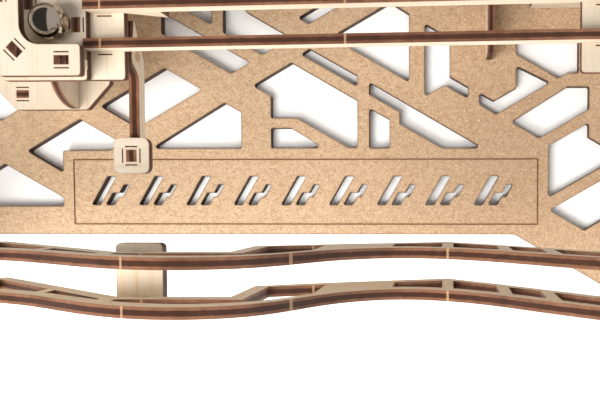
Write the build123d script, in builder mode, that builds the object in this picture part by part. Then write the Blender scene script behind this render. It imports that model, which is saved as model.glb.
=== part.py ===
"""A desk-top marble run, laser-cut from one sheet of board and many sheets of thin plywood.

Frame: millimetres, +Z up, +X to the right, +Y to the back.  The origin lies on the
underside of the base board, at the middle of its outline.

A marble is put in the start tray (right, front) and rolls: coaster track, left corner,
left track, back corner, back track, turning tray, middle track, waiting station.  The
release lever lifts it out of its seat; it falls to the lower deck and rolls down the
lower track into the catch pen.
"""
from build123d import *
from math import radians, tan
import os

os.makedirs("parts", exist_ok=True)

# ---------------------------------------------------------------- driving dimensions
BOARD_X, BOARD_Y, BOARD_T = 300.0, 180.0, 3.0   # base board outline and thickness
PLY = 2.4                     # thickness of the plates and uprights
RAIL_T = 2.7                  # thickness of the rails
GAUGE = 10.5                  # distance between the rails' centre lines
MARBLE_R = 5.0
TENON_W = 4.0                 # width of every tenon
RELIEF_L, RELIEF_W, RELIEF_GAP = 4.0, 0.3, 2.1  # the thin slits beside a tenon slot
LIP = 1.75                    # how far a tray's floor lies under the rail tops
LAP = 8.0                     # length of the rail ends that lie on a tray
GUARD_GAP = 4.6               # gap between a tray's floor and its guard
RAIL_DEPTH = 4.2

FRONT_Y = -68.6               # centre lines of the tracks
MIDDLE_Y = -2.4
LOWER_Y = 25.0
BACK_Y = 46.0
LEFT_X = -135.0

START_TOP = 120.0             # heights of the rail tops at the ends of the tracks
COASTER_END_TOP = 78.0
LEFT_END_TOP = 75.5
MIDDLE_RIGHT_TOP = 70.35
MIDDLE_LEFT_TOP = 63.0
LOWER_START_TOP = 33.8
LOWER_END_TOP = 15.0

START_X, TURN_X, STATION_X = 113.0, 97.0, -48.4  # tray edges that the tracks end on


# ---------------------------------------------------------------- shared shapes
def upright_plane(x, y, along):
    """A vertical plane through (x, y): its own x runs along "X" or "Y", its own y is +Z."""
    if along == "X":
        return Plane(origin=(x, y, 0), x_dir=(1, 0, 0), z_dir=(0, -1, 0))
    return Plane(origin=(x, y, 0), x_dir=(0, 1, 0), z_dir=(1, 0, 0))


def rounded(points, radius):
    """A flat face with this outline, its corners rounded."""
    with BuildSketch() as face:
        with BuildLine():
            FilletPolyline(*points, radius=radius, close=True)
        make_face()
    return face.sketch


def cut_mortises(places, slits=True):
    """Cut a tenon slot with a relief slit along each long side at every (x, y, turn).

    A fourth value is the thickness of a tenon that isn't as thick as the plates.
    """
    for x, y, turn, *own in places:
        with Locations(Location((x, y, 0), (0, 0, turn))):
            Rectangle(TENON_W, own[0] if own else PLY, mode=Mode.SUBTRACT)
            if slits:
                with Locations((0, RELIEF_GAP), (0, -RELIEF_GAP)):
                    Rectangle(RELIEF_L, RELIEF_W, mode=Mode.SUBTRACT)


def rail_tabs(x, y, across_x):
    """The slots for the tabs of a track's two rails at (x, y); the rails part along Y or X."""
    half = GAUGE / 2
    if across_x:
        return [(x - half, y, 90, RAIL_T), (x + half, y, 90, RAIL_T)]
    return [(x, y - half, 0, RAIL_T), (x, y + half, 0, RAIL_T)]


def save(part, name):
    """Label a finished piece and write its STEP file."""
    part.label = name
    export_step(part, f"parts/{name}.step")


def plate(name, outline, z_top, mortises, holes=(), slits=True):
    """A horizontal plywood plate with its tenon slots and round holes (x, y, radius)."""
    with BuildPart() as sheet:
        with BuildSketch(Plane.XY.offset(z_top - PLY)):
            add(outline)
            cut_mortises(mortises, slits)
            for x, y, radius in holes:
                with Locations((x, y)):
                    Circle(radius, mode=Mode.SUBTRACT)
        extrude(amount=PLY)
    save(sheet.part, name)


# ---------------------------------------------------------------- cross towers
TOWER_TENON_AT = 8.0          # tenons stand this far each side of a tower's axis
TOWER_RIM, TOWER_SPINE = 4.0, 3.5               # widths left beside a leaf's windows
TOWER_SILL, TOWER_WAIST, TOWER_HEAD = 7.0, 3.0, 6.0  # and heights below, between, above


def tower_leaf(name, x, y, along, z_floor, half_foot, half_top, slot_up):
    """One of the two crossed leaves of a tower, half-lapped on the other at mid height."""
    z_under = z_floor - PLY
    middle = (BOARD_T + z_under) / 2
    window_foot, window_top = half_foot - TOWER_RIM, half_top - TOWER_RIM
    panes = ((BOARD_T + TOWER_SILL, middle - TOWER_WAIST),
             (middle + TOWER_WAIST, z_under - TOWER_HEAD))
    with BuildPart() as leaf:
        with BuildSketch(upright_plane(x, y, along)):
            Polygon((-half_foot, BOARD_T), (half_foot, BOARD_T), (half_top, z_under),
                    (-half_top, z_under), align=None)
            for side in (-1, 1):
                for low, high in panes:
                    share_low = (low - BOARD_T) / (z_under - BOARD_T)
                    share_high = (high - BOARD_T) / (z_under - BOARD_T)
                    out_low = window_foot + (window_top - window_foot) * share_low
                    out_high = window_foot + (window_top - window_foot) * share_high
                    Polygon((side * TOWER_SPINE, low), (side * out_low, low),
                            (side * out_high, high), (side * TOWER_SPINE, high),
                            align=None, mode=Mode.SUBTRACT)
            for at in (-TOWER_TENON_AT, TOWER_TENON_AT):
                with Locations((at, BOARD_T / 2)):
                    Rectangle(TENON_W, BOARD_T)
                with Locations((at, z_floor - PLY / 2)):
                    Rectangle(TENON_W, PLY)
            slot_end = z_under if slot_up else BOARD_T
            with Locations((0, (middle + slot_end) / 2)):
                Rectangle(PLY, abs(slot_end - middle), mode=Mode.SUBTRACT)
        extrude(amount=PLY / 2, both=True)
    save(leaf.part, name)


def tower(name, x, y, z_floor, half_foot=(13, 13), half_top=(12, 12)):
    """Two crossed leaves that carry a tray whose floor's top is at z_floor."""
    tower_leaf(f"{name}_leaf_x", x, y, "X", z_floor, half_foot[0], half_top[0], True)
    tower_leaf(f"{name}_leaf_y", x, y, "Y", z_floor, half_foot[1], half_top[1], False)


def tower_mortises(x, y):
    """Where a tower's tenons pass through the board and through its tray."""
    d = TOWER_TENON_AT
    return [(x - d, y, 0), (x + d, y, 0), (x, y - d, 90), (x, y + d, 90)]


START_TOWER = (131.0, FRONT_Y)
LEFT_TOWER = (LEFT_X, FRONT_Y)
BACK_TOWER = (LEFT_X, BACK_Y)
MID_TOWER = (-10.0, BACK_Y)
TURN_TOWER = (120.0, 22.0)


def rail_line(top_a, top_b, length, s):
    """Height of a straight rail's top at distance s from its start."""
    return top_a + (top_b - top_a) * s / length


START_FLOOR = START_TOP - LIP
LEFT_FLOOR = COASTER_END_TOP - LIP
BACK_FLOOR = LEFT_END_TOP - LIP
TURN_FLOOR = MIDDLE_RIGHT_TOP - LIP
STATION_FLOOR = MIDDLE_LEFT_TOP - LIP
LOWER_FLOOR = LOWER_START_TOP - LIP

LEFT_EDGE = LEFT_X + 14.0                       # the left trays' edge
BACK_RAIL_X = LEFT_EDGE - LAP                   # the back track's rails start here
BACK_RUN = TURN_X + LAP - BACK_RAIL_X
MID_HALF = 11.0                                 # half length of the saddle at mid track
MID_SADDLE_TOP = rail_line(LEFT_END_TOP, MIDDLE_RIGHT_TOP, BACK_RUN,
                           MID_TOWER[0] + MID_HALF - BACK_RAIL_X) - RAIL_DEPTH

tower("start_tower", *START_TOWER, START_FLOOR, half_foot=(16, 16))
tower("left_tower", *LEFT_TOWER, LEFT_FLOOR, half_foot=(12.5, 14))
tower("back_tower", *BACK_TOWER, BACK_FLOOR)
tower("mid_tower", *MID_TOWER, MID_SADDLE_TOP, half_top=(10.5, 12))
tower("turn_tower", *TURN_TOWER, TURN_FLOOR, half_foot=(16, 20), half_top=(12, 16))


# ---------------------------------------------------------------- base board
NAME_LEFT, NAME_RIGHT = -85.5, 82.5             # the engraved frame of the name panel
NAME_FRONT, NAME_BACK = -58.9, -35.2
RECESS_Y = -62.4                                # the board's front edge between the wings
LETTER_LOW, LETTER_HIGH = -51.8, -41.5          # the band of stencil slots
SLANT = tan(radians(30))
WINDOW_R, FRAME_LINE_R = 0.7, 0.5               # corner radii
BAR_FIRST_X, BAR_PITCH, BAR_CELLS = -79.0, 17.3, 9
LINE_W, LINE_DEEP = 0.45, 0.35                  # the engraved frame line
RIB_X = 64.8
PEN_LEFT, PEN_RIGHT, PEN_FRONT, PEN_BACK = 78.0, 102.0, 18.8, 36.0
PEN_HEIGHT = 11.0


def board_windows():
    """The angular cut-outs of the base board: every edge runs at 0, 90 or 30 degrees."""
    seen = [
        [(-82.8, -20.8), (-102.4, -32.3), (-89.2, -40.1), (-89.2, -32.1), (-72, -32.1),
         (-67.5, -29.6)],
        [(-110.7, -36.9), (-122, -43.5), (-122, -52.3), (-89.3, -52.3), (-89.3, -49.2)],
        [(-75.1, -16.3), (-51.6, -2.7), (-38.1, -10.5), (-61.8, -24.1)],
        [(-56.8, -31.5), (-30.1, -15.2), (-24, -18.6), (-24, -31.5)],
        [(-52.4, 17.1), (-52.4, 9.6), (-27.4, -4.8), (-20.6, -0.9)],
        [(-50, 21.6), (-34.2, 12.5), (-34.2, 30), (-50, 30)],
        [(-30.1, 30), (-30.1, 9.8), (-16.2, 1.8), (-5.9, 7.8), (-22.1, 17.2), (-22.1, 30)],
        [(-3.2, 14.8), (0.6, 12.6), (22, 25), (22, 29.3)],
        [(29.8, 20.1), (36.4, 15.9), (36.4, -8.1), (8.6, 7.9)],
        [(-2.3, 1.9), (0.9, 3.8), (17.9, -5.8), (17.9, -9.6)],
        [(-19.6, -9.1), (-5.7, -1.0), (17.9, -14.6), (17.9, -31.3), (14.6, -31.3),
         (-3.8, -20.7), (-13.2, -20.7), (-13.2, -12.8)],
        [(-13.2, -24.3), (-6.1, -24.3), (5.6, -31.4), (-13.2, -31.4)],
        [(22.2, -17.3), (29.4, -21.4), (29.4, -31.5), (22.2, -31.5)],
        [(22.2, -8.1), (62.8, -31.6), (48.2, -31.6), (33.1, -22.9),
         (33.1, -18.7), (22.2, -12.4)],
        [(42, 12.5), (50.8, 7.4), (50.8, -6.2), (57.4, -10), (57.4, -14), (49, -9.2),
         (42, -13.2)],
        [(74.4, 10), (74.4, 1.5), (89.3, -7), (92.5, -5.2), (96.4, -5.2), (96.4, 10)],
        [(74.5, -2.6), (74.5, -10.3), (66.5, -14.9), (61.4, -12), (61.4, -16.1),
         (67.4, -19.6), (86.5, -8.5)],
        [(92.5, -10), (100.2, -10), (100.2, -18), (82.6, -28.1), (72.7, -22.4)],
        [(86.1, -30.8), (100.2, -22.7), (100.2, -27.8), (108, -32.3), (108, -36.5),
         (86.1, -49.1)],
        [(86.5, -53.7), (108, -41.3), (108, -55.6), (98.8, -60.9)],
    ]
    behind = [[(x - 13, 78), (x - 13, 68.5), (x, 61), (x + 13, 68.5), (x + 13, 78)]
              for x in range(-105, 121, 30)]
    left = [[(-118, y - 12), (-118, y), (-104, y + 8.1), (-90.5, y + 0.3), (-104, y - 7.5),
             (-111, y - 12)] for y in (-9, 16)]
    wing = [[(-143, y - 7), (-143, y + 5), (-127, y + 14.2), (-127, y + 2.2)]
            for y in (-36, -15, 6)]
    right = [[(118, -42), (118, -30), (140, -17.3), (140, -29.3)],
             [(112, -12), (140, 4.2), (140, -7.8), (119, -20)]]
    return [rounded(points, WINDOW_R) for points in seen + behind + left + wing + right]


def slanted_slot(x, low, high, width):
    """One stencil slot: a bar of this width that leans to the right by 30 degrees."""
    lean = (high - low) * SLANT
    return rounded([(x, low), (x + width, low), (x + width + lean, high), (x + lean, high)],
                   0.4)


def stencil_slots():
    """A plain row of slanted bars, long and short in turn, where a name would stand."""
    bars = []
    middle = (LETTER_LOW + LETTER_HIGH) / 2
    for cell in range(BAR_CELLS):
        x = BAR_FIRST_X + BAR_PITCH * cell
        bars.append(slanted_slot(x, LETTER_LOW, LETTER_HIGH, 3.2))
        bars.append(slanted_slot(x + 5.2, LETTER_LOW, middle - 0.8, 3.2))
        bars.append(slanted_slot(x + 9.4, middle + 0.8 - 3, LETTER_HIGH - 3, 2.2))
    return bars


LOWER_LEGS = {
    "deck_leg_front": (-85.0, -16.3, "X", 6.0),
    "deck_leg_side": (-90.0, 10.0, "Y", 10.0),
    "deck_leg_back": (-74.0, 41.0, "X", 14.0),
}


NARROW_HALF = 8.0


def leg_tenons(half):
    """How far from an upright's middle its tenons stand: a narrow one has a single tenon."""
    return (0.0,) if half < NARROW_HALF else (-half / 2, half / 2)


def leg_mortises(legs):
    """The slots of upright legs given as (x, y, direction, half width)."""
    places = []
    for x, y, along, half in legs:
        for at in leg_tenons(half):
            places.append((x + at, y, 0) if along == "X" else (x, y + at, 90))
    return places


PEN_SIDE = ((PEN_LEFT + PEN_RIGHT) / 2, "X", (PEN_RIGHT - PEN_LEFT - PLY) / 2)
PEN_SIDES = [(PEN_SIDE[0], y, *PEN_SIDE[1:]) for y in (PEN_FRONT, PEN_BACK)]
PEN_END = (PEN_RIGHT, (PEN_FRONT + PEN_BACK) / 2, "Y", (PEN_BACK - PEN_FRONT + PLY) / 2)
RIB = (RIB_X, 15.8, "Y", 16.2)

board_slots = []
for place in (START_TOWER, LEFT_TOWER, BACK_TOWER, MID_TOWER, TURN_TOWER):
    board_slots += tower_mortises(*place)
board_slots += leg_mortises(LOWER_LEGS.values())
board_slots += leg_mortises(PEN_SIDES + [PEN_END, RIB])

windows = board_windows()
slots = stencil_slots()
frame_line = rounded([(NAME_LEFT, NAME_FRONT), (NAME_RIGHT, NAME_FRONT),
                      (NAME_RIGHT, NAME_BACK), (NAME_LEFT, NAME_BACK)],
                     FRAME_LINE_R)
half_x, half_y = BOARD_X / 2, BOARD_Y / 2
board_outline = rounded([
    (-half_x, half_y), (-half_x, -half_y), (-132, -half_y), (-116.06, RECESS_Y),
    (74, RECESS_Y), (74 + (half_y + RECESS_Y) / SLANT, -half_y), (half_x, -half_y),
    (half_x, half_y)], 3.0)

with BuildPart() as base_board:
    with BuildSketch():
        add(board_outline)
        add(windows + slots, mode=Mode.SUBTRACT)
        cut_mortises(board_slots, slits=False)
    extrude(amount=BOARD_T)
    with BuildSketch(Plane.XY.offset(BOARD_T)):
        add(frame_line)
        offset(frame_line, amount=-LINE_W, mode=Mode.SUBTRACT)
    extrude(amount=-LINE_DEEP, mode=Mode.SUBTRACT)
save(base_board.part, "base_board")


# ---------------------------------------------------------------- coaster track
COASTER_TOP = [(LEFT_EDGE, COASTER_END_TOP), (-80, 79.6), (-57.5, 84), (-41, 92.5),
               (-25, 101.6), (-8, 105.6), (8, 100.8), (22, 84), (38, 75.6), (54, 79.8),
               (74, 96.3), (95, 114), (START_X, START_TOP)]
COASTER_FOOT = [(START_X - 2, 114), (105, 108), (86.4, 87), (64.4, 65), (50.4, 52),
                (20, 62), (0, 70), (0, 90), (-27, 90), (-78, 52), (-95, 67),
                (LEFT_EDGE + 2, 73)]
COASTER_BARS = [(-78, 3), (-49.4, 3), (-27, 4), (27, 18), (50.4, 3), (64.6, 3), (74.7, 3),
                (87, 3)]                        # uprights left between the windows
CREST_X, CREST_Z = -21.4, 90.0                  # the saddle under the crest


def coaster_rail(name, y):
    """A rail cut as a truss: the marble runs on its wavy top edge."""
    with BuildPart() as rail:
        with BuildSketch(upright_plane(0, y, "X")):
            with BuildLine():
                Spline(*COASTER_TOP, tangents=[(1, 0), (1, 0)])
                Polyline((START_X, START_TOP), (START_X + LAP, START_TOP),
                         (START_X + LAP, START_FLOOR), (START_X, START_FLOOR),
                         *COASTER_FOOT, (LEFT_EDGE, LEFT_FLOOR),
                         (LEFT_EDGE - LAP, LEFT_FLOOR),
                         (LEFT_EDGE - LAP, COASTER_END_TOP), (LEFT_EDGE, COASTER_END_TOP))
            make_face()
            add(coaster_windows, mode=Mode.SUBTRACT)
            tabs = [(START_X + LAP / 2, START_FLOOR), (LEFT_EDGE - LAP / 2, LEFT_FLOOR),
                    (CREST_X, CREST_Z)]
            for x, z in tabs:
                with Locations((x, z - PLY / 2)):
                    Rectangle(TENON_W, PLY)
        extrude(amount=RAIL_T / 2, both=True)
    save(rail.part, name)


CHORD_TOP, CHORD_FOOT = 4.8, 4.5                # heights of the truss's two chords
with BuildSketch() as window_band:
    with BuildLine():
        run = Spline(*[(x, z - CHORD_TOP) for x, z in COASTER_TOP[1:-1]])
        Polyline(run @ 1, (96, 103.5), (86.4, 87 + CHORD_FOOT), (64.4, 65 + CHORD_FOOT),
                 (50.4, 52 + CHORD_FOOT), (20, 62 + CHORD_FOOT), (4, 67.5 + CHORD_FOOT),
                 (4, 90 + CHORD_FOOT), (-28, 90 + CHORD_FOOT), (-78, 52 + CHORD_FOOT),
                 (-80, 54.5 + CHORD_FOOT), run @ 0)
    make_face()
    for bar_x, bar_width in COASTER_BARS:
        with Locations((bar_x, 80)):
            Rectangle(bar_width, 100, mode=Mode.SUBTRACT)
coaster_windows = window_band.sketch

for side, name in ((-1, "coaster_rail_front"), (1, "coaster_rail_back")):
    coaster_rail(name, FRONT_Y + side * GAUGE / 2)

crest_outline = rounded([(CREST_X - 5.5, FRONT_Y - 8.6), (CREST_X + 5.5, FRONT_Y - 8.6),
                         (CREST_X + 5.5, FRONT_Y + 8.6), (CREST_X - 5.5, FRONT_Y + 8.6)], 1.2)
plate("crest_saddle", crest_outline, CREST_Z,
      rail_tabs(CREST_X, FRONT_Y, False), slits=False)


# ---------------------------------------------------------------- straight tracks
def straight_rail(name, x, y, along, length, top_a, top_b, free_end=False):
    """A slim rail from (x, y) that falls evenly; its thin ends lie on the trays' floors."""
    def top(s):
        return rail_line(top_a, top_b, length, s)

    if free_end:
        end = [(length, top_b), (length, top_b - RAIL_DEPTH)]
    else:
        end = [(length, top_b), (length, top_b - LIP), (length - LAP, top_b - LIP),
               (length - LAP - 2, top(length - LAP - 2) - RAIL_DEPTH)]
    with BuildPart() as rail:
        with BuildSketch(upright_plane(x, y, along)):
            Polygon((0, top_a), *end, (LAP + 2, top(LAP + 2) - RAIL_DEPTH),
                    (LAP, top_a - LIP), (0, top_a - LIP), align=None)
            with Locations((LAP / 2, top_a - LIP - PLY / 2)):
                Rectangle(TENON_W, PLY)
            if not free_end:
                with Locations((length - LAP / 2, top_b - LIP - PLY / 2)):
                    Rectangle(TENON_W, PLY)
        extrude(amount=RAIL_T / 2, both=True)
    save(rail.part, name)


LEFT_START_Y, LEFT_END_Y = FRONT_Y + 12.0, BACK_Y - 12.0
LOWER_START_X, LOWER_END_X = -54.0, 76.0
for side, word in ((-1, "a"), (1, "b")):
    half = side * GAUGE / 2
    straight_rail(f"left_rail_{word}", LEFT_X + half, LEFT_START_Y, "Y",
                  LEFT_END_Y - LEFT_START_Y, COASTER_END_TOP, LEFT_END_TOP)
    straight_rail(f"back_rail_{word}", BACK_RAIL_X, BACK_Y + half, "X", BACK_RUN,
                  LEFT_END_TOP, MIDDLE_RIGHT_TOP)
    straight_rail(f"lower_rail_{word}", LOWER_START_X, LOWER_Y + half, "X",
                  LOWER_END_X - LOWER_START_X, LOWER_START_TOP, LOWER_END_TOP,
                  free_end=True)


# ---------------------------------------------------------------- middle track
STATION_SADDLE = (-53.6, -39.0)                 # the saddles' left and right edges
TURN_SADDLE = (85.3, 104.0)
SADDLE_HALF_Y = 14.3
STATION_UNDER, TURN_UNDER = STATION_FLOOR - PLY, TURN_FLOOR - PLY
MIDDLE_TABS = [(-44.5, STATION_UNDER), (91.0, TURN_UNDER)]
FIN_X, FIN_DEPTH = -28.5, 6.0                   # the fin under the back rail


def middle_top(x):
    """Height of the middle track's rail tops."""
    return rail_line(MIDDLE_LEFT_TOP, MIDDLE_RIGHT_TOP, TURN_X - STATION_X, x - STATION_X)


def middle_rail(name, y, fin):
    """A slim rail between the waiting station and the turning tray."""
    left, right = STATION_SADDLE[1], TURN_SADDLE[0]
    foot = [(right, TURN_UNDER), (right - 1, middle_top(right - 1) - RAIL_DEPTH),
            (FIN_X, middle_top(FIN_X) - RAIL_DEPTH)]
    if fin:
        foot.append((FIN_X, middle_top(FIN_X) - RAIL_DEPTH - FIN_DEPTH))
    foot.append((left, STATION_UNDER))
    with BuildPart() as rail:
        with BuildSketch(upright_plane(0, y, "X")):
            Polygon((STATION_X, MIDDLE_LEFT_TOP), (TURN_X, MIDDLE_RIGHT_TOP),
                    (TURN_X, TURN_UNDER), *foot, (STATION_X, STATION_UNDER), align=None)
            for x, z in MIDDLE_TABS:
                with Locations((x, z - PLY / 2)):
                    Rectangle(TENON_W, PLY)
        extrude(amount=RAIL_T / 2, both=True)
    save(rail.part, name)


middle_rail("middle_rail_front", MIDDLE_Y - GAUGE / 2, False)
middle_rail("middle_rail_back", MIDDLE_Y + GAUGE / 2, True)


def middle_saddle(name, edges, z_top, tab_x, mortises):
    """The cross plate that holds the two middle rails at one end."""
    low, high = MIDDLE_Y - SADDLE_HALF_Y, MIDDLE_Y + SADDLE_HALF_Y
    outline = rounded([(edges[0], low), (edges[1], low), (edges[1], high),
                       (edges[0], high)], 0.9)
    plate(name, outline, z_top, rail_tabs(tab_x, MIDDLE_Y, False) + mortises)


# ---------------------------------------------------------------- trays and guards
CORRIDOR, BAND = 6.6, 8.2                       # half width of the path, width of a guard
OUTER = CORRIDOR + BAND
INNER_R = 5.3                                   # inner corner of a guard
POST_W = 6.4


def guard_posts(name, places, z_floor):
    """Short upright plates between a tray and its guard, tenoned through both."""
    with BuildPart() as posts:
        for x, y, turn in places:
            across = Plane(origin=(x, y, 0), x_dir=Vector(1, 0, 0).rotate(Axis.Z, turn),
                           z_dir=Vector(0, -1, 0).rotate(Axis.Z, turn))
            with BuildSketch(across):
                with Locations((0, z_floor + GUARD_GAP / 2)):
                    Rectangle(POST_W, GUARD_GAP)
                    Rectangle(TENON_W, GUARD_GAP + 2 * PLY)
            extrude(amount=PLY / 2, both=True)
    save(posts.part, name)


def corner_guard_outline(x, y, arm_x, arm_y, side):
    """An L whose walls stand to the left and on one side (-1 front, 1 back) of the path."""
    points = [(x - OUTER, y + side * OUTER), (x + arm_x, y + side * OUTER),
              (x + arm_x, y + side * CORRIDOR), (x - CORRIDOR, y + side * CORRIDOR),
              (x - CORRIDOR, y - side * arm_y), (x - OUTER, y - side * arm_y)]
    with BuildSketch() as face:
        with BuildLine():
            FilletPolyline(*points, radius=[3.0, 0.9, 0.9, INNER_R, 0.9, 0.9], close=True)
        make_face()
    return face.sketch


def corner_posts(x, y, arm_y, side):
    """Three posts of a corner guard: on each arm and, at 45 degrees, in the corner."""
    band = CORRIDOR + BAND / 2
    slant = 7.9                                  # the corner post stands this far out, both ways
    return [(x + 4.6, y + side * band, 0), (x - slant, y + side * slant, 45 * side),
            (x - band - 1.2, y - side * arm_y, 90)]


# left and back corner trays
LEFT_TRAY_BACK = LEFT_START_Y + LAP
BACK_TRAY_FRONT = LEFT_END_Y - LAP
for word, y, side, floor, y_far in (("left", FRONT_Y, -1, LEFT_FLOOR, LEFT_TRAY_BACK),
                                    ("back", BACK_Y, 1, BACK_FLOOR, BACK_TRAY_FRONT)):
    posts = corner_posts(LEFT_X, y, 8.0, side)
    tabs = (rail_tabs(LEFT_X, y_far + side * LAP / 2, True)
            + rail_tabs(LEFT_EDGE - LAP / 2, y, False))
    outline = rounded([(LEFT_X - OUTER, y + side * OUTER), (LEFT_EDGE, y + side * OUTER),
                       (LEFT_EDGE, y_far), (LEFT_X - OUTER, y_far)], 0.9)
    plate(f"{word}_tray", outline, floor, posts + tabs + tower_mortises(LEFT_X, y))
    guard = corner_guard_outline(LEFT_X, y, 9.5, 14.0, side)
    plate(f"{word}_guard", guard, floor + GUARD_GAP + PLY, posts)
    guard_posts(f"{word}_guard_posts", posts, floor)

# start tray: a U, open to the left
START_WALL = 142.0
start_posts = [(122, FRONT_Y - 10.7, 0), (145.6, FRONT_Y, 90), (122, FRONT_Y + 10.7, 0)]
start_outline = rounded([(START_X, FRONT_Y - OUTER), (149.4, FRONT_Y - OUTER),
                         (149.4, FRONT_Y + OUTER), (START_X, FRONT_Y + OUTER)], 2.0)
start_lane = rounded([(START_X - 9, FRONT_Y - CORRIDOR), (START_WALL, FRONT_Y - CORRIDOR),
                      (START_WALL, FRONT_Y + CORRIDOR), (START_X - 9, FRONT_Y + CORRIDOR)],
                     INNER_R)
plate("start_tray", start_outline, START_FLOOR,
      start_posts + rail_tabs(START_X + LAP / 2, FRONT_Y, False)
      + tower_mortises(*START_TOWER))
plate("start_guard", start_outline - start_lane, START_FLOOR + GUARD_GAP + PLY, start_posts)
guard_posts("start_guard_posts", start_posts, START_FLOOR)

# turning tray: the marble swings round a half circle from the back to the middle track
TURN_Y = (BACK_Y + MIDDLE_Y) / 2
TURN_LANE_R = (BACK_Y - MIDDLE_Y) / 2 + CORRIDOR
TURN_CENTRE_X = TURN_X + 6.0


def half_round(x_left, radius):
    """A plate outline with a straight left edge and a half-round right end."""
    with BuildSketch() as face:
        with BuildLine():
            Polyline((TURN_CENTRE_X, TURN_Y + radius), (x_left, TURN_Y + radius),
                     (x_left, TURN_Y - radius), (TURN_CENTRE_X, TURN_Y - radius))
            RadiusArc((TURN_CENTRE_X, TURN_Y - radius), (TURN_CENTRE_X, TURN_Y + radius),
                      -radius)
        make_face()
    return face.sketch


turn_outline = half_round(TURN_X, TURN_LANE_R + BAND)
turn_reach = TURN_LANE_R + BAND / 2
turn_posts = [(TURN_CENTRE_X, TURN_Y - turn_reach, 0), (TURN_CENTRE_X, TURN_Y + turn_reach, 0)]
for angle in (-45, 0, 45):
    spot = Vector(turn_reach, 0, 0).rotate(Axis.Z, angle)
    turn_posts.append((TURN_CENTRE_X + spot.X, TURN_Y + spot.Y, angle + 90))
plate("turn_tray", turn_outline, TURN_FLOOR,
      turn_posts + rail_tabs(TURN_X + LAP / 2, BACK_Y, False) + tower_mortises(*TURN_TOWER))
plate("turn_guard", turn_outline - half_round(TURN_X - 1, TURN_LANE_R),
      TURN_FLOOR + GUARD_GAP + PLY, turn_posts)
guard_posts("turn_guard_posts", turn_posts, TURN_FLOOR)
middle_saddle("turn_saddle", TURN_SADDLE, TURN_UNDER, MIDDLE_TABS[1][0], [])

# the saddle in the middle of the back track
mid_left, mid_right = MID_TOWER[0] - MID_HALF, MID_TOWER[0] + MID_HALF
mid_outline = rounded([(mid_left, BACK_Y - 14), (mid_right, BACK_Y - 14),
                       (mid_right, BACK_Y + 14), (mid_left, BACK_Y + 14)], 1.2)
plate("mid_saddle", mid_outline, MID_SADDLE_TOP, tower_mortises(*MID_TOWER))


# ---------------------------------------------------------------- waiting station
STOP_X = -56.0                                  # where the marble waits
SEAT_R = 3.0
DROP_X, DROP_R = -55.6, 6.4                     # the hole to the lower deck
PIVOT_Y, PIVOT_Z, PIN_R = -9.0, 52.3, 1.5
PIN_CLEARANCE = 0.05
BEARING_A, BEARING_B = -51.2, -64.2             # the two uprights that carry the pin
GUARD_END_X = -46.4                             # right ends of the station's guard
WEB_X = -68.0
WEB_TOP_TENONS, WEB_FOOT_TENONS = (-13.0, 13.0), (-10.0, 1.0)
BACK_WEB_X, BACK_WEB_Y, BACK_WEB_TENONS = -56.0, 41.0, (-6.0, 6.0)

station_posts = corner_posts(STOP_X, MIDDLE_Y, 6.5, -1) + [
    (STOP_X - 11.9, 20, 90), (DROP_X + 3, LOWER_Y + 10.7, 0)]
BEARING_A_Y, BEARING_B_Y = -2.2, 4.0            # their tenons
bearing_mortises = [(BEARING_A, BEARING_A_Y, 90), (BEARING_B, BEARING_B_Y, 90)]
web_mortises = [(WEB_X, y, 90) for y in WEB_TOP_TENONS]
back_web_mortises = [(BACK_WEB_X + at, BACK_WEB_Y, 0) for at in BACK_WEB_TENONS]
station_outline = rounded([(-72, MIDDLE_Y - OUTER), (STATION_X, MIDDLE_Y - OUTER),
                           (STATION_X, 12.5), (-43.5, 15), (-43.5, 43.5), (-72, 43.5)], 0.9)
plate("station_tray", station_outline, STATION_FLOOR,
      station_posts + bearing_mortises + web_mortises + back_web_mortises,
      holes=[(STOP_X, MIDDLE_Y, SEAT_R), (DROP_X, LOWER_Y, DROP_R)])

with BuildSketch() as station_guard:
    with BuildLine():
        left, lane = STOP_X - OUTER, STOP_X - CORRIDOR
        front, back = MIDDLE_Y - OUTER, LOWER_Y + OUTER
        FilletPolyline((left, front), (GUARD_END_X, front), (GUARD_END_X, front + BAND),
                       (lane, front + BAND), (lane, back - BAND),
                       (GUARD_END_X, back - BAND), (GUARD_END_X, back), (left, back),
                       radius=[3.0, 0.9, 0.9, INNER_R, INNER_R, 0.9, 0.9, 3.0], close=True)
    make_face()
plate("station_guard", station_guard.sketch, STATION_FLOOR + GUARD_GAP + PLY, station_posts)
guard_posts("station_guard_posts", station_posts, STATION_FLOOR)
middle_saddle("station_saddle", STATION_SADDLE, STATION_UNDER, MIDDLE_TABS[0][0],
              [bearing_mortises[0]])


def bearing(name, x, shoulder, span, tenon_y):
    """An upright that hangs under the station and holds one end of the lever's pin."""
    with BuildPart() as hanger:
        with BuildSketch(upright_plane(x, 0, "Y")):
            Polygon((PIVOT_Y - 3.6, PIVOT_Z - 3.6), (PIVOT_Y + 3.6, PIVOT_Z - 3.6),
                    (span[1], shoulder - 3), (span[1], shoulder), (span[0], shoulder),
                    align=None)
            with Locations((tenon_y, (shoulder + STATION_FLOOR) / 2)):
                Rectangle(TENON_W, STATION_FLOOR - shoulder)
            with Locations((PIVOT_Y, PIVOT_Z)):
                Circle(PIN_R + PIN_CLEARANCE, mode=Mode.SUBTRACT)
        extrude(amount=PLY / 2, both=True)
    save(hanger.part, name)


bearing("bearing_right", BEARING_A, STATION_UNDER - PLY, (-12.6, 1.5), BEARING_A_Y)
bearing("bearing_left", BEARING_B, STATION_UNDER, (-12.6, 8.0), BEARING_B_Y)

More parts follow.
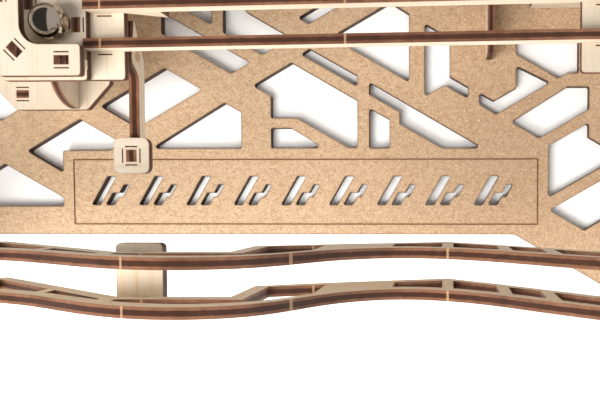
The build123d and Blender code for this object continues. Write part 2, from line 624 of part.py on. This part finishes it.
# lower deck, its guard and the two uprights between deck and station
deck_outline = rounded([(-97, 45), (-97, -11.3), (-87, -21.3), (-64.2, -21.3),
                        (-56.9, -13.2), (-56.9, -7), (-52, -4.5), (-52, 14), (-46, 16.5),
                        (-46, 45)], 1.5)
deck_posts = [(-56, LOWER_Y - 10.7, 0), (-56, LOWER_Y + 10.7, 0), (-73, LOWER_Y, 90)]
deck_web_mortises = [(WEB_X, y, 90) for y in WEB_FOOT_TENONS]
plate("lower_deck", deck_outline, LOWER_FLOOR,
      deck_posts + rail_tabs(LOWER_START_X + LAP / 2, LOWER_Y, False) + deck_web_mortises
      + back_web_mortises + leg_mortises(LOWER_LEGS.values()))
deck_guard_outline = rounded([(-78, LOWER_Y - OUTER), (-48, LOWER_Y - OUTER),
                              (-48, LOWER_Y + OUTER), (-78, LOWER_Y + OUTER)], 2.0)
deck_lane = rounded([(-69, LOWER_Y - CORRIDOR), (-38, LOWER_Y - CORRIDOR),
                     (-38, LOWER_Y + CORRIDOR), (-69, LOWER_Y + CORRIDOR)], INNER_R)
plate("deck_guard", deck_guard_outline - deck_lane, LOWER_FLOOR + GUARD_GAP + PLY, deck_posts)
guard_posts("deck_guard_posts", deck_posts, LOWER_FLOOR)

WEB_NOSE_Y = -21.0
with BuildPart() as deck_web:
    with BuildSketch(upright_plane(WEB_X, 0, "Y")):
        with BuildLine():
            nose = ThreePointArc((WEB_NOSE_Y, LOWER_FLOOR), (-18.6, 39.6), (-11, 44.5))
            Polyline(nose @ 1, (-15.4, 54), (-15.4, STATION_UNDER), (16, STATION_UNDER),
                     (16, 54), (9, 48), (9, LOWER_FLOOR), nose @ 0)
        make_face()
        with Locations((-1.5, 50)):
            RectangleRounded(13, 9, 2, mode=Mode.SUBTRACT)
        for y in WEB_FOOT_TENONS:
            with Locations((y, LOWER_FLOOR - PLY / 2)):
                Rectangle(TENON_W, PLY)
        for y in WEB_TOP_TENONS:
            with Locations((y, STATION_FLOOR - PLY / 2)):
                Rectangle(TENON_W, PLY)
    extrude(amount=PLY / 2, both=True)
save(deck_web.part, "deck_web")

with BuildPart() as back_web:
    with BuildSketch(upright_plane(BACK_WEB_X, BACK_WEB_Y, "X")):
        with Locations((0, (LOWER_FLOOR + STATION_UNDER) / 2)):
            Rectangle(20, STATION_UNDER - LOWER_FLOOR)
            RectangleRounded(12, STATION_UNDER - LOWER_FLOOR - 10, 2, mode=Mode.SUBTRACT)
        for at in BACK_WEB_TENONS:
            for z in (LOWER_FLOOR - PLY / 2, STATION_FLOOR - PLY / 2):
                with Locations((at, z)):
                    Rectangle(TENON_W, PLY)
    extrude(amount=PLY / 2, both=True)
save(back_web.part, "back_web")


LEG_SIDE, LEG_END, LEG_HOLE_R = 3.5, 4.5, 1.5   # what is left round a leg's opening


def legs(name, places, z_top, carries):
    """Uprights from the board to z_top; tenoned above only if they carry a plate."""
    shoulder = z_top - PLY if carries else z_top
    with BuildPart() as uprights:
        for x, y, along, half in places:
            with BuildSketch(upright_plane(x, y, along)):
                with Locations((0, (BOARD_T + shoulder) / 2)):
                    Rectangle(2 * half, shoulder - BOARD_T)
                    if carries:
                        RectangleRounded(2 * (half - LEG_SIDE),
                                         shoulder - BOARD_T - 2 * LEG_END, LEG_HOLE_R,
                                         mode=Mode.SUBTRACT)
                for at in leg_tenons(half):
                    with Locations((at, BOARD_T / 2)):
                        Rectangle(TENON_W, BOARD_T)
                    if carries:
                        with Locations((at, z_top - PLY / 2)):
                            Rectangle(TENON_W, PLY)
            extrude(amount=PLY / 2, both=True)
    save(uprights.part, name)


for name, place in LOWER_LEGS.items():
    legs(name, [place], LOWER_FLOOR, True)
legs("pen_side_walls", PEN_SIDES, BOARD_T + PEN_HEIGHT, False)
legs("pen_end_wall", [PEN_END], BOARD_T + PEN_HEIGHT, False)

# the low rib that carries the lower track near its end
RIB_TOP = 15.2
lower_under = rail_line(LOWER_START_TOP, LOWER_END_TOP, LOWER_END_X - LOWER_START_X,
                        RIB_X - LOWER_START_X) - RAIL_DEPTH - 0.25
with BuildPart() as track_rib:
    with BuildSketch(upright_plane(RIB_X, RIB[1], "Y")):
        with Locations((0, (BOARD_T + RIB_TOP) / 2)):
            Rectangle(2 * RIB[3], RIB_TOP - BOARD_T)
        for side in (-1, 1):
            with Locations((LOWER_Y + side * GAUGE / 2 - RIB[1], (lower_under + RIB_TOP) / 2)):
                Rectangle(RAIL_T + 0.2, RIB_TOP - lower_under, mode=Mode.SUBTRACT)
            with Locations((side * RIB[3] / 2, BOARD_T / 2)):
                Rectangle(TENON_W, BOARD_T)
    extrude(amount=PLY / 2, both=True)
save(track_rib.part, "track_rib")


# ---------------------------------------------------------------- release lever
LEVER_T = 3.0
LEVER_X = -39.9                                 # centre plane of the long arm
PAD_Y, PAD_SIZE, PAD_R = -37.4, 10.2, 2.0
ARM_TOP, ARM_FOOT = 51.7, 48.2
LEVER_TENON = 3.4
PIN_LEFT = -66.2                                # the pin's far end
WEIGHT_Y, WEIGHT_Z, WEIGHT_R, WEIGHT_T = 8.0, 46.0, 5.0, 3.0

with BuildPart() as release_lever:
    with BuildSketch(upright_plane(LEVER_X, 0, "Y")):
        with BuildLine():
            Polyline((-16.5, ARM_TOP), (-42.0, ARM_TOP), (-42.0, ARM_FOOT),
                     (PIVOT_Y - 0.6, ARM_FOOT), (-3.0, 52.2), (0.5, 53.8), (0.5, 54.5),
                     (PIVOT_Y - 0.8, 56.0))
            Spline((PIVOT_Y - 0.8, 56.0), (-12.9, 53.6), (-16.5, ARM_TOP),
                   tangents=[(-1, 0), (-1, 0)])
        make_face()
        with Locations((PAD_Y, ARM_TOP + PLY / 2)):
            Rectangle(LEVER_TENON, PLY)
        with Locations((PIVOT_Y, PIVOT_Z)):
            Circle(PIN_R, mode=Mode.SUBTRACT)
    extrude(amount=LEVER_T / 2, both=True)
save(release_lever.part, "release_lever")

with BuildPart() as lever_pad:
    with BuildSketch(Plane.XY.offset(ARM_TOP)):
        with Locations((LEVER_X, PAD_Y)):
            RectangleRounded(PAD_SIZE, PAD_SIZE, PAD_R)
            Rectangle(LEVER_T, LEVER_TENON, mode=Mode.SUBTRACT)
            with Locations((0, RELIEF_GAP + 0.5), (0, -RELIEF_GAP - 0.5)):
                Rectangle(RELIEF_L - 0.6, RELIEF_W, mode=Mode.SUBTRACT)
            with Locations((RELIEF_GAP + 0.4, 0), (-RELIEF_GAP - 0.4, 0)):
                Rectangle(RELIEF_W, RELIEF_L, mode=Mode.SUBTRACT)
    extrude(amount=PLY)
save(lever_pad.part, "lever_pad")

with BuildPart() as lever_pin:
    with BuildSketch(Plane(origin=(PIN_LEFT, PIVOT_Y, PIVOT_Z), z_dir=(1, 0, 0))):
        Circle(PIN_R)
    extrude(amount=LEVER_X + LEVER_T / 2 - PIN_LEFT)
save(lever_pin.part, "lever_pin")

with BuildPart() as lift_arm:
    with BuildSketch(upright_plane(STOP_X, 0, "Y")):
        Polygon((-12, 50.4), (-11.4, 55), (-4.2, 57.2), (-3.5, 60), (-1.7, 60), (-0.9, 56.4),
                (2.5, 52.5), (10.5, 50.2), (12.4, 46), (9, 42.4), (3.5, 44.5), (-3, 49.2),
                (-9.5, 48.6), align=None)
        with Locations((PIVOT_Y, PIVOT_Z)):
            Circle(PIN_R, mode=Mode.SUBTRACT)
    extrude(amount=PLY / 2, both=True)
save(lift_arm.part, "lift_arm")

with BuildPart() as lever_weight:
    with BuildSketch(Plane(origin=(STOP_X - PLY / 2, WEIGHT_Y, WEIGHT_Z), z_dir=(-1, 0, 0))):
        Circle(WEIGHT_R)
    extrude(amount=WEIGHT_T)
    chamfer(lever_weight.edges().filter_by(GeomType.CIRCLE).sort_by(Axis.X)[0], 0.4)
save(lever_weight.part, "lever_weight")


# ---------------------------------------------------------------- marbles
SEAT_GAP = 0.15
seat_rise = (MARBLE_R ** 2 - SEAT_R ** 2) ** 0.5
MARBLES = {
    "waiting_marble": (STOP_X, MIDDLE_Y, STATION_FLOOR + seat_rise + SEAT_GAP),
    "pen_marble": (PEN_RIGHT - PLY / 2 - MARBLE_R - 0.3, (PEN_FRONT + PEN_BACK) / 2,
                   BOARD_T + MARBLE_R + 0.1),
}
for name, (x, y, z) in MARBLES.items():
    with BuildPart() as marble:
        with BuildSketch(Plane(origin=(x, y, z), x_dir=(1, 0, 0), z_dir=(0, -1, 0))):
            with BuildLine():
                ThreePointArc((0, -MARBLE_R), (MARBLE_R, 0), (0, MARBLE_R))
                Line((0, MARBLE_R), (0, -MARBLE_R))
            make_face()
        revolve(axis=Axis((x, y, z), (0, 0, 1)))
    save(marble.part, name)
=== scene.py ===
"""Looks of the marble run: wood, steel, floor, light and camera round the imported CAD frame."""
import math

import bpy
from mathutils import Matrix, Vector


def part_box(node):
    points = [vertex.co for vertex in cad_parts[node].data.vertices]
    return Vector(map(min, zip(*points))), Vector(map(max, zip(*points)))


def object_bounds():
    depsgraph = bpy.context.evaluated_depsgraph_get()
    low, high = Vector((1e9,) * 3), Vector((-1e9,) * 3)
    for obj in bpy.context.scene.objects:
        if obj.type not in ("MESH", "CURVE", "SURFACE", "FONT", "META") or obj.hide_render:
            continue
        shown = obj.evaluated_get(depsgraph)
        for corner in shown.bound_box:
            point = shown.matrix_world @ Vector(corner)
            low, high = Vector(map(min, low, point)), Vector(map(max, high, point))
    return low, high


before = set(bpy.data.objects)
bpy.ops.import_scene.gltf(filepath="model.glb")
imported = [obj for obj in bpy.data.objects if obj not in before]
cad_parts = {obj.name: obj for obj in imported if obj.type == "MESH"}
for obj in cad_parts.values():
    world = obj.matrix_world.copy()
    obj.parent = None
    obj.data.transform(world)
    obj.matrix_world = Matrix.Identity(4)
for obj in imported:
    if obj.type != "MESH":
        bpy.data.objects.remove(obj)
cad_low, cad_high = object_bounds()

MM = 0.001
AXES = "XYZ"
PLATE_MAX = 3.2 * MM          # a node thinner than this along one axis is a single flat plate
BOARD_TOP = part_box("base_board")[1].z

# where short pale bridges held the rails in their sheet while they were cut, along X
COASTER_MARKS = (-19.0 * MM, 14.9 * MM, 50.4 * MM)
MIDDLE_MARKS = (-43.6 * MM, 23.4 * MM)
MARK_WIDTH = 0.7 * MM
MARK_SHARE = 0.45

# the engraved frame line on the board: its middle line, the width kept free of the burnt
# rims round it, and how far below the top face its colour starts and is full
FRAME_LINE_X = (-85.5 * MM, 82.5 * MM)
FRAME_LINE_Y = (-58.9 * MM, -35.2 * MM)
FRAME_LINE_CLEAR = (0.8 * MM, 1.1 * MM)
ENGRAVING_DEPTH = (0.1 * MM, 0.25 * MM)

# painted shade: the board is browner towards its right end, standing in for the key light falling
# off across it
BOARD_SHADE_X = (-70 * MM, 100 * MM)
BOARD_SHADE_SHARE = 0.5

# laser smoke: a dark line beside each cut, and a wider faint halo on the board
BURNT_RIM = 0.4 * MM
SMOKE_HALO = 1.3 * MM
RIM_BOARD, RIM_PLY, RIM_HALO = (0.0, 0.04), (0.0, 0.08), (0.0, 0.06)
PLY_RIM_SHARE = 0.6
HALO_SHARE = 0.35

# how much of a normal's part along an axis makes a surface look along that axis
FACING = (0.4, 0.6)

# the dark core ply, as a share of the half thickness: where it ends, and how much that wavers
CORE_END = (0.36, 0.56)
CORE_WAVER = 0.2

# grain is drawn out along the plate to about 1 / GRAIN_STRETCH times its width
GRAIN_STRETCH = 0.035

# display colours of the fibreboard
BOARD_BROWN, BOARD_PALE = (191, 164, 132), (208, 181, 149)
BOARD_FALLOFF_SHADE = (172, 139, 109)
MOTTLE = (162, 124, 92)
FIBRE_DARK, FIBRE_PALE = (152, 116, 84), (218, 190, 158)
SPECK = (104, 72, 52)
SMOKE = (150, 108, 78)
BURNT_LINE = (54, 37, 31)
ENGRAVED = (146, 106, 76)
BOARD_WALL = ((40, 28, 24), (88, 62, 48))

# display colours of the plywood
VENEER = ((205, 190, 169), (214, 201, 183))
GRAIN_BROAD, GRAIN_FINE = (198, 168, 132), (182, 148, 112)
CORE_PLY = ((38, 22, 16), (76, 46, 33))
OUTER_PLY = ((86, 54, 39), (142, 100, 74))
OUTER_SOOT = (76, 46, 33)
BRIDGE = (206, 168, 128)
POST_TOP = ((30, 18, 14), (92, 58, 42))

# display colours of the rest
STEEL_TINT = ((152, 140, 126), (178, 166, 151))
PIN_SIDE = ((186, 142, 94), (222, 186, 140))
PIN_END = (188, 152, 112)
TABLE = ((247, 246, 244), (252, 251, 250))

# painted light and shade: the veneer of some plates is made lighter or darker to stand in for how
# much light reaches them
PLATE_LIGHT_TONES = {"crest_saddle": 1.28, "station_saddle": 0.98, "turn_saddle": 0.78, "lower_deck": 0.95,
         "station_guard": 0.82, "station_tray": 0.90, "turn_guard": 0.90, "lever_pad": 0.88}

FIBREBOARD = ["base_board"]
STEEL = ["waiting_marble", "pen_marble", "lever_weight"]
DOWEL = ["lever_pin"]
TWO_SOLID_WALLS = "pen_side_walls"

TABLE_SIZE = 4.0
TABLE_GAP = 0.02 * MM         # the floor lies this far under the board, so they stay apart

# the studio is pale, apart from a dark ceiling to the left, which the steel reflects
DARK_SIDE = (-0.956, 0.0, 0.29)
DARK_TURN = (-0.04, 0.08)
DARK_HEIGHT = (0.20, 0.36)
SKY_PALE, SKY_DARK = 0.84, 0.08

KEY = {"place": (-0.36, -0.42, 0.62), "target": (-0.03, -0.04, 0.03),
       "size": 0.75, "watts": 15.6, "tint": (1.0, 0.985, 0.965)}
FILL = {"place": (0.50, 0.30, 0.60), "target": (0.0, 0.0, 0.03),
        "size": 0.80, "watts": 0.8, "tint": (1.0, 0.99, 0.97)}

CAMERA_PLACE = (50.87 * MM, -49.87 * MM, 245.0 * MM)
CAMERA_TURN = (-2.322, 1.491, -0.012)      # degrees
CAMERA_LENS, CAMERA_SENSOR = 40.5, 36.0    # millimetres
CAMERA_SHIFT = (-0.220, 0.0447)
CAMERA_CLIP = 0.005


def colour(rgb, tone=1.0):
    """A display colour of 0 to 255 a channel, as linear RGBA, made lighter or darker by tone."""
    linear = [tone * ((c / 255 + 0.055) / 1.055) ** 2.4 for c in rgb]
    return (*linear, 1.0)


class Nodes:
    """A node tree, built by short calls that each return an output socket."""

    def __init__(self, tree):
        self.tree = tree

    def add(self, kind, **inputs):
        node = self.tree.nodes.new(kind)
        for name, value in inputs.items():
            self.set(node.inputs[name], value)
        return node

    def set(self, socket, value):
        if isinstance(value, bpy.types.NodeSocket):
            self.tree.links.new(value, socket)
        else:
            socket.default_value = value

    def math(self, operation, *values):
        node = self.add("ShaderNodeMath")
        node.operation = operation
        for socket, value in zip(node.inputs, values):
            self.set(socket, value)
        return node.outputs[0]

    def dot(self, first, second):
        node = self.add("ShaderNodeVectorMath")
        node.operation = "DOT_PRODUCT"
        self.set(node.inputs[0], first)
        self.set(node.inputs[1], second)
        return node.outputs["Value"]

    def step(self, value, low, high):
        """0 below low and 1 above high, or the other way round if low is above high."""
        node = self.add("ShaderNodeMapRange")
        node.interpolation_type = "SMOOTHSTEP"
        self.set(node.inputs["Value"], value)
        flip = low > high
        node.inputs["From Min"].default_value = min(low, high)
        node.inputs["From Max"].default_value = max(low, high)
        node.inputs["To Min"].default_value = 1.0 if flip else 0.0
        node.inputs["To Max"].default_value = 0.0 if flip else 1.0
        return node.outputs["Result"]

    def mix(self, share, first, second):
        node = self.add("ShaderNodeMix")
        node.data_type = "RGBA"
        sockets = [s for s in node.inputs if s.enabled]
        for socket, value in zip(sockets, (share, first, second)):
            self.set(socket, value)
        return [s for s in node.outputs if s.enabled][0]


class Shader(Nodes):
    """A material, whose place and normal are in the object's own frame."""

    def __init__(self, name):
        self.material = bpy.data.materials.new(name)
        self.material.use_nodes = True
        super().__init__(self.material.node_tree)
        self.surface = self.tree.nodes["Principled BSDF"]
        coordinates = self.add("ShaderNodeTexCoord")
        self.place = coordinates.outputs["Object"]
        split_place = self.add("ShaderNodeSeparateXYZ", Vector=self.place)
        split_normal = self.add("ShaderNodeSeparateXYZ", Vector=coordinates.outputs["Normal"])
        self.at = {a: split_place.outputs[a] for a in AXES}
        self.normal = {a: split_normal.outputs[a] for a in AXES}

    def noise(self, scale, detail=3.0, roughness=0.55, stretch=(1, 1, 1), seed=0.0):
        """Noise of about 1 / scale metres, drawn out along the axes whose stretch is under 1."""
        mapping = self.add("ShaderNodeMapping", Vector=self.place)
        mapping.inputs["Scale"].default_value = stretch
        mapping.inputs["Location"].default_value = (seed, seed * 0.7, seed * 0.3)
        node = self.add("ShaderNodeTexNoise", Vector=mapping.outputs[0],
                        Scale=scale, Detail=detail, Roughness=roughness)
        return node.outputs[0]

    def between(self, share, pair):
        """A colour between the two of a pair."""
        first, second = pair
        return self.mix(share, colour(first), colour(second))

    def tint(self, base, rgba, value, low, high, amount=1.0):
        """Base with a colour mixed in, up to amount of it, where value passes low to high."""
        share = self.step(value, low, high)
        return self.mix(self.math("MULTIPLY", share, amount), base, rgba)

    def looks_along(self, axis):
        """1 where the surface looks along an axis, either way, and 0 where it is turned away."""
        return self.step(self.math("ABSOLUTE", self.normal[axis]), *FACING)

    def rim(self, radius, limits):
        """1 beside an edge of the solid, 0 further than about the radius from it."""
        rounded = self.add("ShaderNodeBevel", Radius=radius)
        rounded.samples = 6
        straight = self.add("ShaderNodeNewGeometry").outputs["Normal"]
        turned = self.math("SUBTRACT", 1.0, self.dot(rounded.outputs[0], straight))
        return self.step(turned, *limits)

    def bump(self, height, distance, strength):
        node = self.add("ShaderNodeBump", Height=height, Distance=distance, Strength=strength)
        self.set(self.surface.inputs["Normal"], node.outputs[0])

    def finish(self, base, roughness, spread, pattern):
        """The material, with this colour and a roughness that a pattern raises by up to spread."""
        uneven = self.math("ADD", roughness, self.math("MULTIPLY", pattern, spread))
        self.set(self.surface.inputs["Base Color"], base)
        self.set(self.surface.inputs["Roughness"], uneven)
        return self.material


def away_from_frame_line(s):
    """0 on the engraved frame line, which is only browned, and 1 elsewhere."""
    outside = []
    for axis, (low, high) in (("X", FRAME_LINE_X), ("Y", FRAME_LINE_Y)):
        offset = s.math("SUBTRACT", s.at[axis], (low + high) / 2)
        outside.append(s.math("SUBTRACT", s.math("ABSOLUTE", offset), (high - low) / 2))
    distance = s.math("ABSOLUTE", s.math("MAXIMUM", *outside))
    return s.step(distance, *FRAME_LINE_CLEAR)


def engraved_floor(s):
    """1 on the bottom of the engraved frame line, below the board's top face."""
    start, full = (BOARD_TOP - depth for depth in ENGRAVING_DEPTH)
    upward = s.step(s.normal["Z"], *FACING)
    return s.math("MULTIPLY", upward, s.step(s.at["Z"], start, full))


def fibreboard():
    """Bare fibreboard: fine light and dark fibres on top, burnt walls and rims at the cut-outs."""
    s = Shader("fibreboard_burnt_edges")
    cloud = s.noise(28, detail=4.0)
    mottle = s.noise(380, roughness=0.6, seed=5.2)
    fibre_dark = s.noise(1900, detail=4.0, roughness=0.7, stretch=(0.45, 1, 1))
    fibre_pale = s.noise(1700, detail=4.0, roughness=0.7, stretch=(1, 0.5, 1), seed=3.1)
    speck = s.noise(2900, detail=2.0, roughness=0.6, seed=7.7)
    base = s.between(cloud, (BOARD_BROWN, BOARD_PALE))
    # painted shade: browner towards the right end, where the light falls off
    base = s.tint(base, colour(BOARD_FALLOFF_SHADE), s.at["X"], *BOARD_SHADE_X, BOARD_SHADE_SHARE)
    base = s.tint(base, colour(MOTTLE), mottle, 0.42, 0.66, 0.3)
    base = s.tint(base, colour(FIBRE_DARK), fibre_dark, 0.47, 0.74)
    base = s.tint(base, colour(FIBRE_PALE), fibre_pale, 0.50, 0.72)
    base = s.tint(base, colour(SPECK), speck, 0.57, 0.70, 0.8)
    halo = s.math("MULTIPLY", s.rim(SMOKE_HALO, RIM_HALO), HALO_SHARE)
    base = s.mix(halo, base, colour(SMOKE))
    burnt = s.math("MULTIPLY", s.rim(BURNT_RIM, RIM_BOARD), away_from_frame_line(s))
    base = s.mix(burnt, base, colour(BURNT_LINE))
    base = s.mix(engraved_floor(s), base, colour(ENGRAVED))
    soot = s.noise(900, detail=2.0, stretch=(1, 1, 0.12), seed=1.3)
    base = s.mix(s.looks_along("Z"), s.between(soot, BOARD_WALL), base)
    s.bump(fibre_dark, 0.05 * MM, 0.25)
    return s.finish(base, 0.62, 0.25, fibre_pale)


def face_colour(s, seed, along, tone=1.0):
    """Pale sanded veneer with grain along one axis, and the pattern of its finer lines."""
    stretch = [1.0, 1.0, 1.0]
    stretch[along] = GRAIN_STRETCH
    broad = s.noise(420, stretch=stretch, seed=seed)
    fine = s.noise(1500, roughness=0.65, stretch=stretch, seed=seed + 2.0)
    cloud = s.noise(35, detail=2.0, seed=seed)
    base = s.mix(cloud, colour(VENEER[0], tone), colour(VENEER[1], tone))
    base = s.tint(base, colour(GRAIN_BROAD, tone), broad, 0.48, 0.74, 0.35)
    base = s.tint(base, colour(GRAIN_FINE, tone), fine, 0.54, 0.74, 0.4)
    return base, fine


def edge_colour(s, seed, across, middle, thickness):
    """A laser-burnt edge: a dark core ply between two lighter brown outer plies.

    With no thickness, the node holds more than one plate, and soot takes the plies' place.
    """
    streaks = s.noise(420, detail=4.0, roughness=0.6, seed=seed)
    soot = s.noise(55, seed=seed + 5.0)
    core = s.between(streaks, CORE_PLY)
    outer = s.tint(s.between(streaks, OUTER_PLY), colour(OUTER_SOOT), soot, 0.45, 0.7, 0.6)
    if thickness is None:
        return s.mix(s.step(soot, 0.35, 0.65), core, outer)
    depth = s.math("ABSOLUTE", s.math("SUBTRACT", s.at[across], middle))
    waver = s.math("MULTIPLY", s.math("SUBTRACT", streaks, 0.5), CORE_WAVER)
    share = s.math("ADD", s.math("DIVIDE", depth, thickness / 2), waver)
    return s.mix(s.step(share, *CORE_END), core, outer)


def plywood(name, seed, across, along, middle, thickness, marks=()):
    """Plywood whose pale faces look along the across axis, and whose other sides are burnt."""
    s = Shader("plywood_" + name)
    # painted light and shade: some plates' veneer is lightened or darkened by how lit they are
    face, fine = face_colour(s, seed, along, PLATE_LIGHT_TONES.get(name, 1.0))
    browned = s.math("MULTIPLY", s.rim(BURNT_RIM, RIM_PLY), PLY_RIM_SHARE)
    face = s.mix(browned, face, colour(SMOKE))
    edge = edge_colour(s, seed, across, middle, thickness)
    for x in marks:
        near = s.math("ABSOLUTE", s.math("SUBTRACT", s.at["X"], x))
        edge = s.tint(edge, colour(BRIDGE), near, MARK_WIDTH / 2, MARK_WIDTH / 3, MARK_SHARE)
    s.bump(fine, 0.03 * MM, 0.2)
    return s.finish(s.mix(s.looks_along(across), edge, face), 0.55, 0.2, fine)


def burnt_tops(name, seed):
    """Upright posts at mixed angles: dark cut tops with their plies showing, and pale sides."""
    s = Shader("posts_" + name)
    side, fine = face_colour(s, seed, 0)
    plies = s.noise(1600, detail=2.0, stretch=(1, 0.15, 1), seed=seed)
    top = s.between(s.step(plies, 0.35, 0.65), POST_TOP)
    return s.finish(s.mix(s.looks_along("Z"), side, top), 0.55, 0.2, fine)


def steel(name, scratch):
    """Steel with faint smears, so its gloss is uneven by as much as scratch."""
    s = Shader(name)
    smear = s.noise(180, detail=4.0, stretch=(1, 0.4, 1), seed=4.0)
    s.surface.inputs["Metallic"].default_value = 1.0
    return s.finish(s.between(smear, STEEL_TINT), 0.06, scratch, smear)


def dowel():
    """A hardwood pin, browner on its end grain."""
    s = Shader("hardwood_pin")
    grain = s.noise(1400, stretch=(0.05, 1, 1), seed=9.0)
    end = s.math("ABSOLUTE", s.normal["X"])
    base = s.tint(s.between(grain, PIN_SIDE), colour(PIN_END), end, 0.5, 0.8)
    return s.finish(base, 0.45, 0.2, grain)


def dress(node, material):
    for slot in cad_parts[node].material_slots:
        slot.material = material


def marks_of(node):
    if node.startswith("coaster_rail"):
        return COASTER_MARKS
    if node.startswith("middle_rail"):
        return MIDDLE_MARKS
    return ()


def wooden(node, seed):
    """A flat plate gets its plies from its own thickness; other nodes show burnt tops."""
    low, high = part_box(node)
    size = high - low
    thin = min(range(3), key=lambda i: size[i])
    long = max(range(3), key=lambda i: size[i])
    if size[thin] < PLATE_MAX:
        middle = (low[thin] + high[thin]) / 2
        return plywood(node, seed, AXES[thin], long, middle, size[thin], marks_of(node))
    if node == TWO_SOLID_WALLS:
        return plywood(node, seed, "Y", long, 0.0, None)
    return burnt_tops(node, seed)


def dress_all():
    board = fibreboard()
    polished = steel("steel_polished", 0.10)
    brushed = steel("steel_brushed", 0.35)
    for order, node in enumerate(sorted(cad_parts)):
        if node in FIBREBOARD:
            dress(node, board)
        elif node in STEEL:
            dress(node, brushed if node == "lever_weight" else polished)
        elif node in DOWEL:
            dress(node, dowel())
        else:
            dress(node, wooden(node, order * 0.83))


def stage_floor():
    """A plain pale table top, level with the underside of the board."""
    bpy.ops.mesh.primitive_plane_add(size=TABLE_SIZE, location=(0, 0, cad_low[2] - TABLE_GAP))
    floor = bpy.context.object
    floor.name = "floor"
    s = Shader("table_top")
    cloud = s.noise(6, detail=2.0)
    floor.data.materials.append(s.finish(s.between(cloud, TABLE), 0.55, 0.1, cloud))


def area_light(name, place, target, size, watts, tint):
    """A round lamp that lights the scene but isn't mirrored in the steel."""
    data = bpy.data.lights.new(name, "AREA")
    data.shape = "DISK"
    data.size = size
    data.energy = watts
    data.color = tint
    light = bpy.data.objects.new(name, data)
    light.location = place
    light.visible_glossy = False
    light.rotation_euler = (Vector(target) - Vector(place)).to_track_quat("-Z", "Y").to_euler()
    bpy.context.scene.collection.objects.link(light)


def studio():
    """The pale room with its dark patch of ceiling, a broad key light and a weak fill light."""
    world = bpy.data.worlds.new("studio")
    world.use_nodes = True
    sky = Nodes(world.node_tree)
    direction = sky.add("ShaderNodeTexCoord").outputs["Generated"]
    height = sky.add("ShaderNodeSeparateXYZ", Vector=direction).outputs["Z"]
    leftward = sky.dot(direction, DARK_SIDE)
    dark = sky.math("MULTIPLY", sky.step(leftward, *DARK_TURN), sky.step(height, *DARK_HEIGHT))
    pale_grey, dark_grey = ((tone, tone, tone, 1.0) for tone in (SKY_PALE, SKY_DARK))
    sky.set(sky.tree.nodes["Background"].inputs["Color"], sky.mix(dark, pale_grey, dark_grey))
    bpy.context.scene.world = world
    area_light("key", **KEY)
    area_light("fill", **FILL)


def photograph():
    """A camera that looks down on the front left half of the board."""
    data = bpy.data.cameras.new("camera")
    data.sensor_width = CAMERA_SENSOR
    data.lens = CAMERA_LENS
    data.shift_x, data.shift_y = CAMERA_SHIFT
    data.clip_start = CAMERA_CLIP
    camera = bpy.data.objects.new("camera", data)
    camera.location = CAMERA_PLACE
    camera.rotation_euler = [math.radians(angle) for angle in CAMERA_TURN]
    bpy.context.scene.collection.objects.link(camera)
    bpy.context.scene.camera = camera


dress_all()
stage_floor()
studio()
photograph()
bpy.context.scene.view_settings.view_transform = "Standard"
